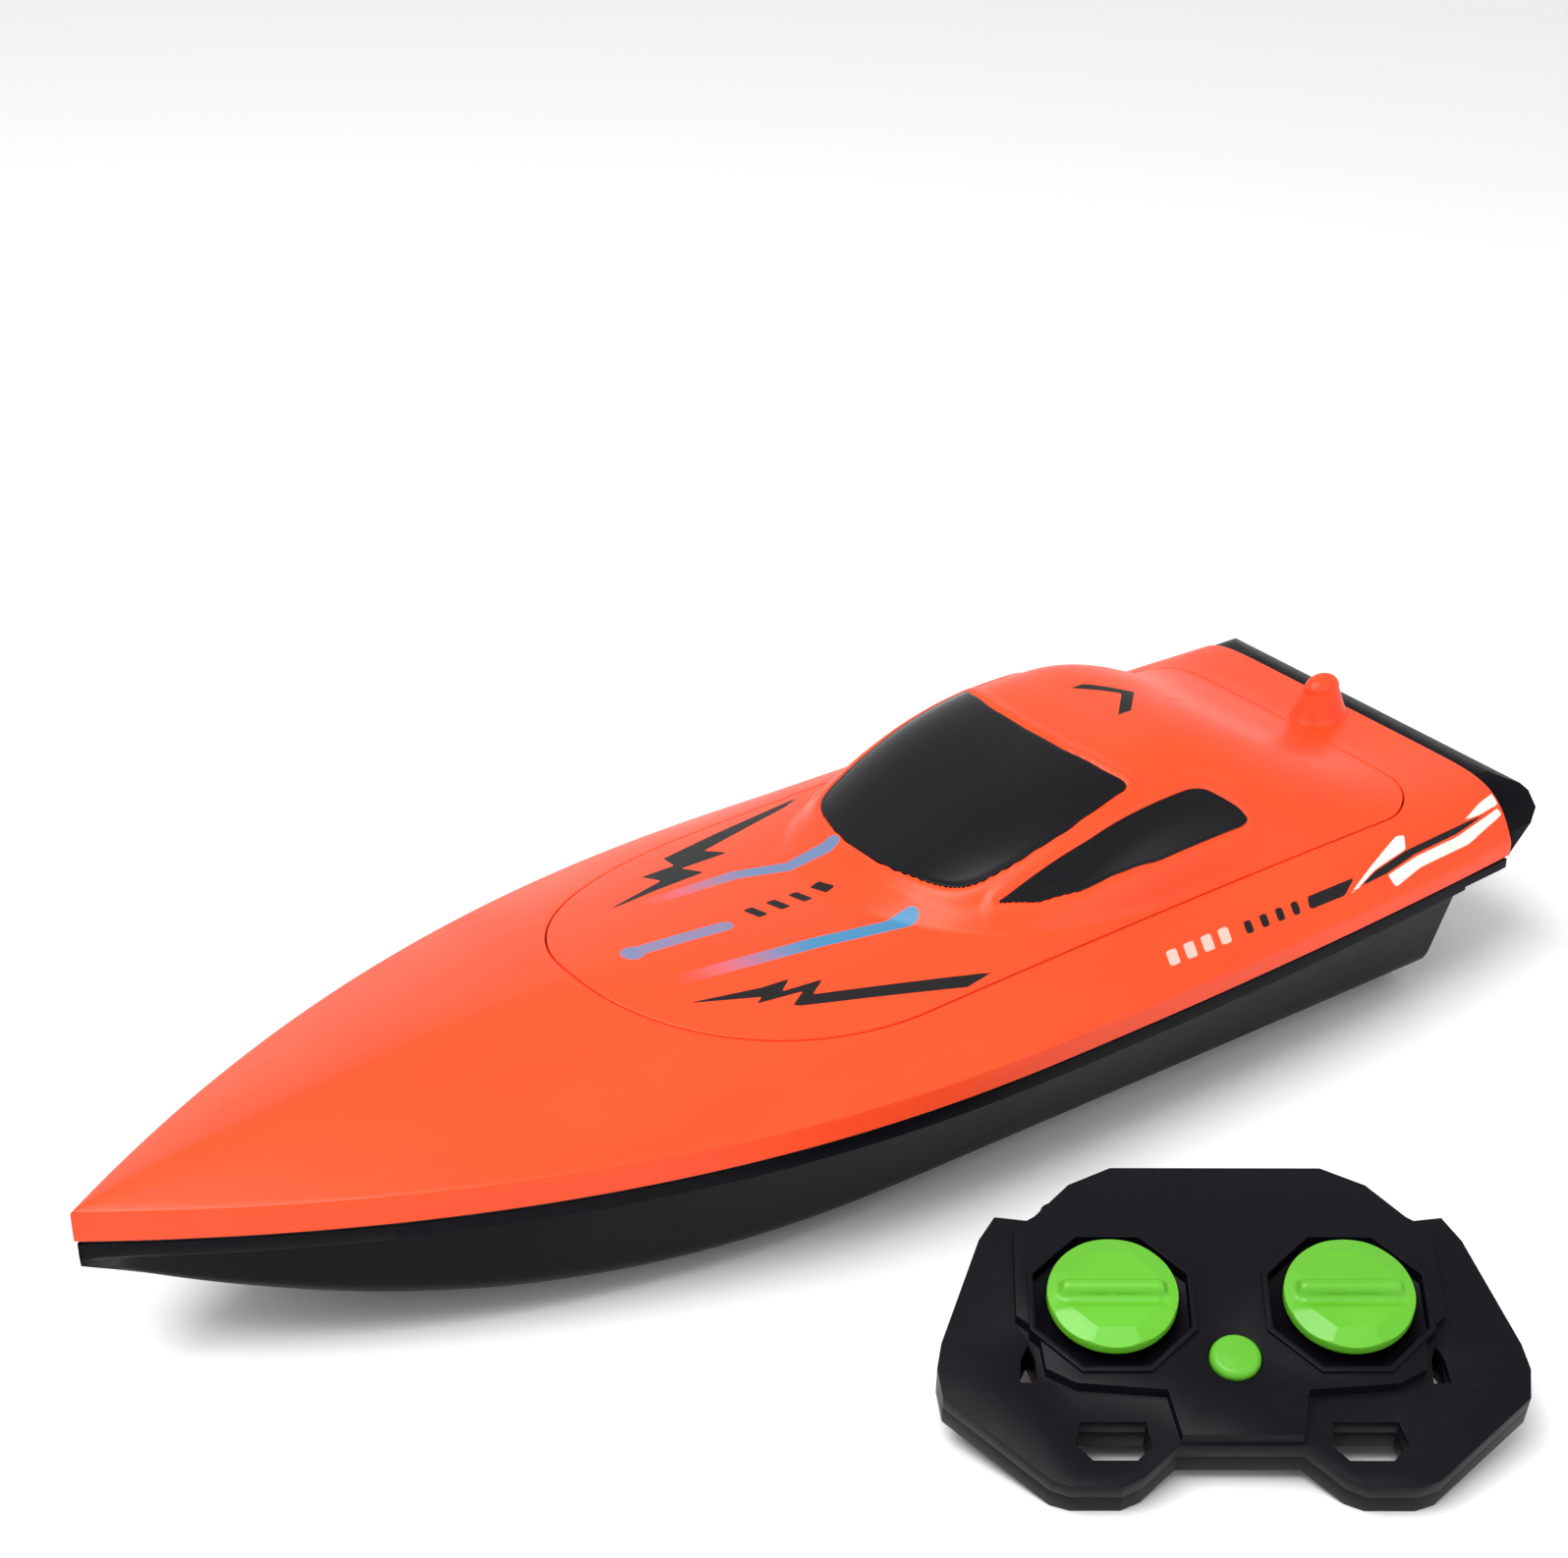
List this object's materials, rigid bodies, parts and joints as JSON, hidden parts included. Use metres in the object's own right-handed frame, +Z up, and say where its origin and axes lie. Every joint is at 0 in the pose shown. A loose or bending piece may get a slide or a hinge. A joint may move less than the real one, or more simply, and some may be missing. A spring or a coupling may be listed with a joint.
{
  "type": "rc boat",
  "caption": "Radio-controlled speedboat with a sleek orange deck, black hull, raised cabin hatch and propellers under the stern, with its two-stick handset.",
  "frame": {"origin": "on the flat of the keel, amidships on the centreline", "axes": "+X to the bow, +Y to port, +Z up; the handset lies on the port side"},
  "size_m": [0.371, 0.2636, 0.0803],
  "materials": {
    "orange_plastic": "glossy moulded plastic",
    "hull_black": "glossy moulded plastic",
    "window_black": "high gloss",
    "seal_rubber": "matt",
    "fitting_black": "matt",
    "strap_fabric": "woven",
    "aerial_black": "matt",
    "cell_wrap": "shrink film",
    "cell_jacket": "printed film",
    "circuit_green": "solder mask",
    "switch_white": "matt",
    "screw_steel": "zinc plated",
    "motor_steel": "plated",
    "shaft_steel": "ground",
    "spring_steel": "plated",
    "tube_brass": "drawn",
    "propeller_black": "moulded",
    "handset_black": "satin moulded plastic",
    "green_plastic": "glossy moulded plastic"
  },
  "bodies": {
    "boat": {"hull": "hull_black", "deck": "orange_plastic", "hull_gasket": "seal_rubber", "stern_bumper": "hull_black", "tail_fin": "orange_plastic", "battery_tray": "fitting_black", "battery_pack": "cell_wrap", "battery_strap": "strap_fabric", "circuit_board": "circuit_green", "receiver_aerial": "aerial_black", "power_switch": "fitting_black", "water_contacts": "tube_brass", "motor_bracket": "fitting_black", "motor_left": "motor_steel", "motor_right": "motor_steel", "stern_tube_left": "tube_brass", "stern_tube_right": "tube_brass", "deck_screws": "screw_steel"},
    "switch": {"switch_slider": "switch_white"},
    "left_drive": {"shaft_left": "shaft_steel", "coupler_left": "tube_brass", "propeller_left": "propeller_black"},
    "right_drive": {"shaft_right": "shaft_steel", "coupler_right": "tube_brass", "propeller_right": "propeller_black"},
    "hatch": {"hatch_cover": "orange_plastic", "hatch_gasket": "seal_rubber", "windshield": "window_black", "side_window_left": "window_black", "side_window_right": "window_black"},
    "handset": {"handset_front": "handset_black", "handset_back": "handset_black", "handset_board": "circuit_green", "handset_cells": "cell_jacket", "cell_contacts": "spring_steel", "handset_screws": "screw_steel", "gimbal_left": "fitting_black", "gimbal_right": "fitting_black"},
    "left_stick": {"stick_lever_left": "fitting_black", "stick_cap_left": "green_plastic"},
    "right_stick": {"stick_lever_right": "fitting_black", "stick_cap_right": "green_plastic"},
    "power_button": {"power_button": "green_plastic"},
    "battery_door": {"battery_door": "handset_black"}
  },
  "joints": [
    {"name": "hatch_lift", "type": "slide", "parent": "boat", "child": "hatch", "axis": [0, 0, 1], "range_m": [0, 0.06]},
    {"name": "left_propeller_spin", "type": "hinge", "parent": "boat", "child": "left_drive", "pos_m": [-0.164, 0.018, 0.0145], "axis": [1, 0, 0], "continuous": true},
    {"name": "right_propeller_spin", "type": "hinge", "parent": "boat", "child": "right_drive", "pos_m": [-0.164, -0.018, 0.0145], "axis": [1, 0, 0], "continuous": true},
    {"name": "power_switch_slide", "type": "slide", "parent": "boat", "child": "switch", "axis": [1, 0, 0], "range_m": [0, 0.003]},
    {"name": "handset_lift", "type": "slide", "parent": "boat", "child": "handset", "axis": [0, 0, 1], "range_m": [0, 0.08]},
    {"name": "left_stick_tilt", "type": "hinge", "parent": "handset", "child": "left_stick", "pos_m": [0.00892, 0.12744, 0.01773], "axis": [-0.809, 0.5878, 0], "range_deg": [-12, 12], "stiffness_Nm_per_rad": 0.02},
    {"name": "right_stick_tilt", "type": "hinge", "parent": "handset", "child": "right_stick", "pos_m": [-0.03039, 0.15601, 0.01773], "axis": [-0.809, 0.5878, 0], "range_deg": [-12, 12], "stiffness_Nm_per_rad": 0.02},
    {"name": "power_button_press", "type": "slide", "parent": "handset", "child": "power_button", "axis": [-0.1816, -0.25, -0.9511], "range_m": [0, 0.0012], "stiffness_N_per_m": 300, "springref_m": -0.0003},
    {"name": "battery_door_slide", "type": "slide", "parent": "handset", "child": "battery_door", "axis": [-0.559, -0.7694, 0.309], "range_m": [0, 0.03]}
  ]
}
